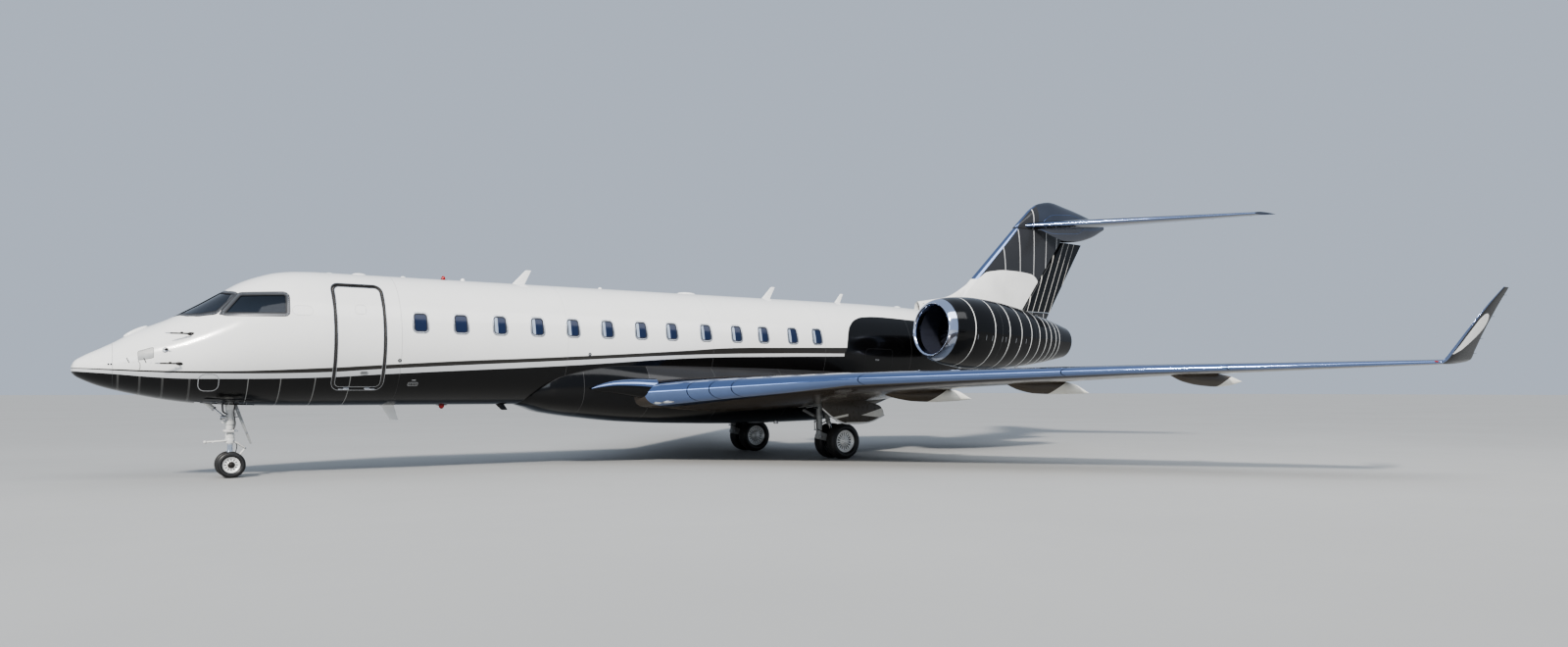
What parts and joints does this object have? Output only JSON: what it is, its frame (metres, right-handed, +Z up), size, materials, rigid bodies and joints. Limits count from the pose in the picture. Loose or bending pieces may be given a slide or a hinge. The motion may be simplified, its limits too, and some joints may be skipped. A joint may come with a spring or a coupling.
{
  "type": "business jet",
  "caption": "Long-range swept-wing business jet with two rear fuselage engines, a T-tail, winglets and twin-wheel tricycle landing gear, parked.",
  "frame": {"origin": "on the ground, under the middle of the bounding box", "axes": "+X aft from the nose, +Y to starboard, +Z up"},
  "size_m": [30.3, 28.6494, 7.65],
  "materials": {
    "airframe_white": "gloss",
    "airframe_black": "gloss",
    "fin_charcoal": "gloss",
    "wing_skin": "gloss",
    "tail_metal": "gloss",
    "polished_metal": "polished",
    "engine_metal": "satin",
    "fan_metal": "satin",
    "wheel_metal": "satin",
    "gear_white": "gloss",
    "tyre_rubber": "matte",
    "cockpit_glass": "gloss",
    "cockpit_trim": "matte",
    "seat_leather": "satin"
  },
  "bodies": {
    "airframe": {"nose_radome": "airframe_white", "fuselage_front": "airframe_white", "fuselage_cabin": "airframe_white", "tail_cone": "airframe_black", "belly_fairing": "airframe_black", "windscreen_port": "cockpit_glass", "windscreen_starboard": "cockpit_glass", "side_window_port": "cockpit_glass", "side_window_starboard": "cockpit_glass", "instrument_panel": "cockpit_trim", "pilot_seat_port": "seat_leather", "pilot_seat_starboard": "seat_leather", "wing_port": "wing_skin", "wing_starboard": "wing_skin", "slats_port": "polished_metal", "slats_starboard": "polished_metal", "flap_inboard_port": "wing_skin", "flap_inboard_starboard": "wing_skin", "flap_outboard_port": "wing_skin", "flap_outboard_starboard": "wing_skin", "winglet_port": "airframe_black", "winglet_starboard": "airframe_black", "pylon_port": "airframe_black", "pylon_starboard": "airframe_black", "nacelle_port": "airframe_black", "nacelle_starboard": "airframe_black", "intake_lip_port": "polished_metal", "intake_lip_starboard": "polished_metal", "engine_core_port": "engine_metal", "engine_core_starboard": "engine_metal", "fin": "fin_charcoal", "bullet_fairing": "fin_charcoal", "tailplane": "tail_metal", "nose_leg": "gear_white", "nose_gear_door": "airframe_black", "main_leg_port": "gear_white", "main_leg_starboard": "gear_white", "main_gear_door_port": "airframe_black", "main_gear_door_starboard": "airframe_black"},
    "passenger_door": {"passenger_door": "airframe_white"},
    "fan_port": {"fan_port": "fan_metal"},
    "fan_starboard": {"fan_starboard": "fan_metal"},
    "rudder": {"rudder": "airframe_black"},
    "elevator_port": {"elevator_port": "tail_metal"},
    "elevator_starboard": {"elevator_starboard": "tail_metal"},
    "aileron_port": {"aileron_port": "wing_skin"},
    "aileron_starboard": {"aileron_starboard": "wing_skin"},
    "nose_steering": {"nose_steering": "gear_white"},
    "nose_wheels": {"nose_rims": "wheel_metal", "nose_tyre_left": "tyre_rubber", "nose_tyre_right": "tyre_rubber"},
    "main_wheels_port": {"main_port_rims": "wheel_metal", "main_port_tyre_left": "tyre_rubber", "main_port_tyre_right": "tyre_rubber"},
    "main_wheels_starboard": {"main_starboard_rims": "wheel_metal", "main_starboard_tyre_left": "tyre_rubber", "main_starboard_tyre_right": "tyre_rubber"}
  },
  "joints": [
    {"name": "passenger_door_hinge", "type": "hinge", "parent": "airframe", "child": "passenger_door", "pos_m": [-10.475, -0.925, 1.705], "axis": [1, 0, 0], "range_deg": [0, 125]},
    {"name": "fan_port_spin", "type": "hinge", "parent": "airframe", "child": "fan_port", "pos_m": [3.98914, -2.7, 3.21074], "axis": [0.999, 0, -0.0436], "continuous": true},
    {"name": "fan_starboard_spin", "type": "hinge", "parent": "airframe", "child": "fan_starboard", "pos_m": [3.98914, 2.7, 3.21074], "axis": [0.999, 0, -0.0436], "continuous": true},
    {"name": "rudder_hinge", "type": "hinge", "parent": "airframe", "child": "rudder", "pos_m": [9.53, 0, 4.4], "axis": [0.6153, 0, 0.7883], "range_deg": [-25, 25]},
    {"name": "elevator_port_hinge", "type": "hinge", "parent": "airframe", "child": "elevator_port", "pos_m": [11.742, 0, 6.975], "axis": [-0.5358, 0.8443, -0.0085], "range_deg": [-25, 18]},
    {"name": "elevator_starboard_hinge", "type": "hinge", "parent": "airframe", "child": "elevator_starboard", "pos_m": [11.742, 0, 6.975], "axis": [0.5358, 0.8443, 0.0085], "range_deg": [-25, 18]},
    {"name": "aileron_port_hinge", "type": "hinge", "parent": "airframe", "child": "aileron_port", "pos_m": [4.0844, -9.3, 2.066], "axis": [-0.5084, 0.8605, -0.0326], "range_deg": [-22, 22]},
    {"name": "aileron_starboard_hinge", "type": "hinge", "parent": "airframe", "child": "aileron_starboard", "pos_m": [4.0844, 9.3, 2.066], "axis": [0.5084, 0.8605, 0.0326], "range_deg": [-22, 22]},
    {"name": "nose_steering_swivel", "type": "hinge", "parent": "airframe", "child": "nose_steering", "pos_m": [-12.6, 0, 0.5], "axis": [0, 0, 1], "range_deg": [-75, 75]},
    {"name": "nose_wheels_spin", "type": "hinge", "parent": "nose_steering", "child": "nose_wheels", "pos_m": [-12.6, 0, 0.252], "axis": [0, 1, 0], "continuous": true},
    {"name": "main_wheels_port_spin", "type": "hinge", "parent": "airframe", "child": "main_wheels_port", "pos_m": [0.58, -2.03, 0.435], "axis": [0, 1, 0], "continuous": true},
    {"name": "main_wheels_starboard_spin", "type": "hinge", "parent": "airframe", "child": "main_wheels_starboard", "pos_m": [0.58, 2.03, 0.435], "axis": [0, 1, 0], "continuous": true}
  ],
  "couplings": [
    {"joint": "elevator_starboard_hinge", "follows": "elevator_port_hinge", "ratio": 1},
    {"joint": "aileron_starboard_hinge", "follows": "aileron_port_hinge", "ratio": -1}
  ]
}
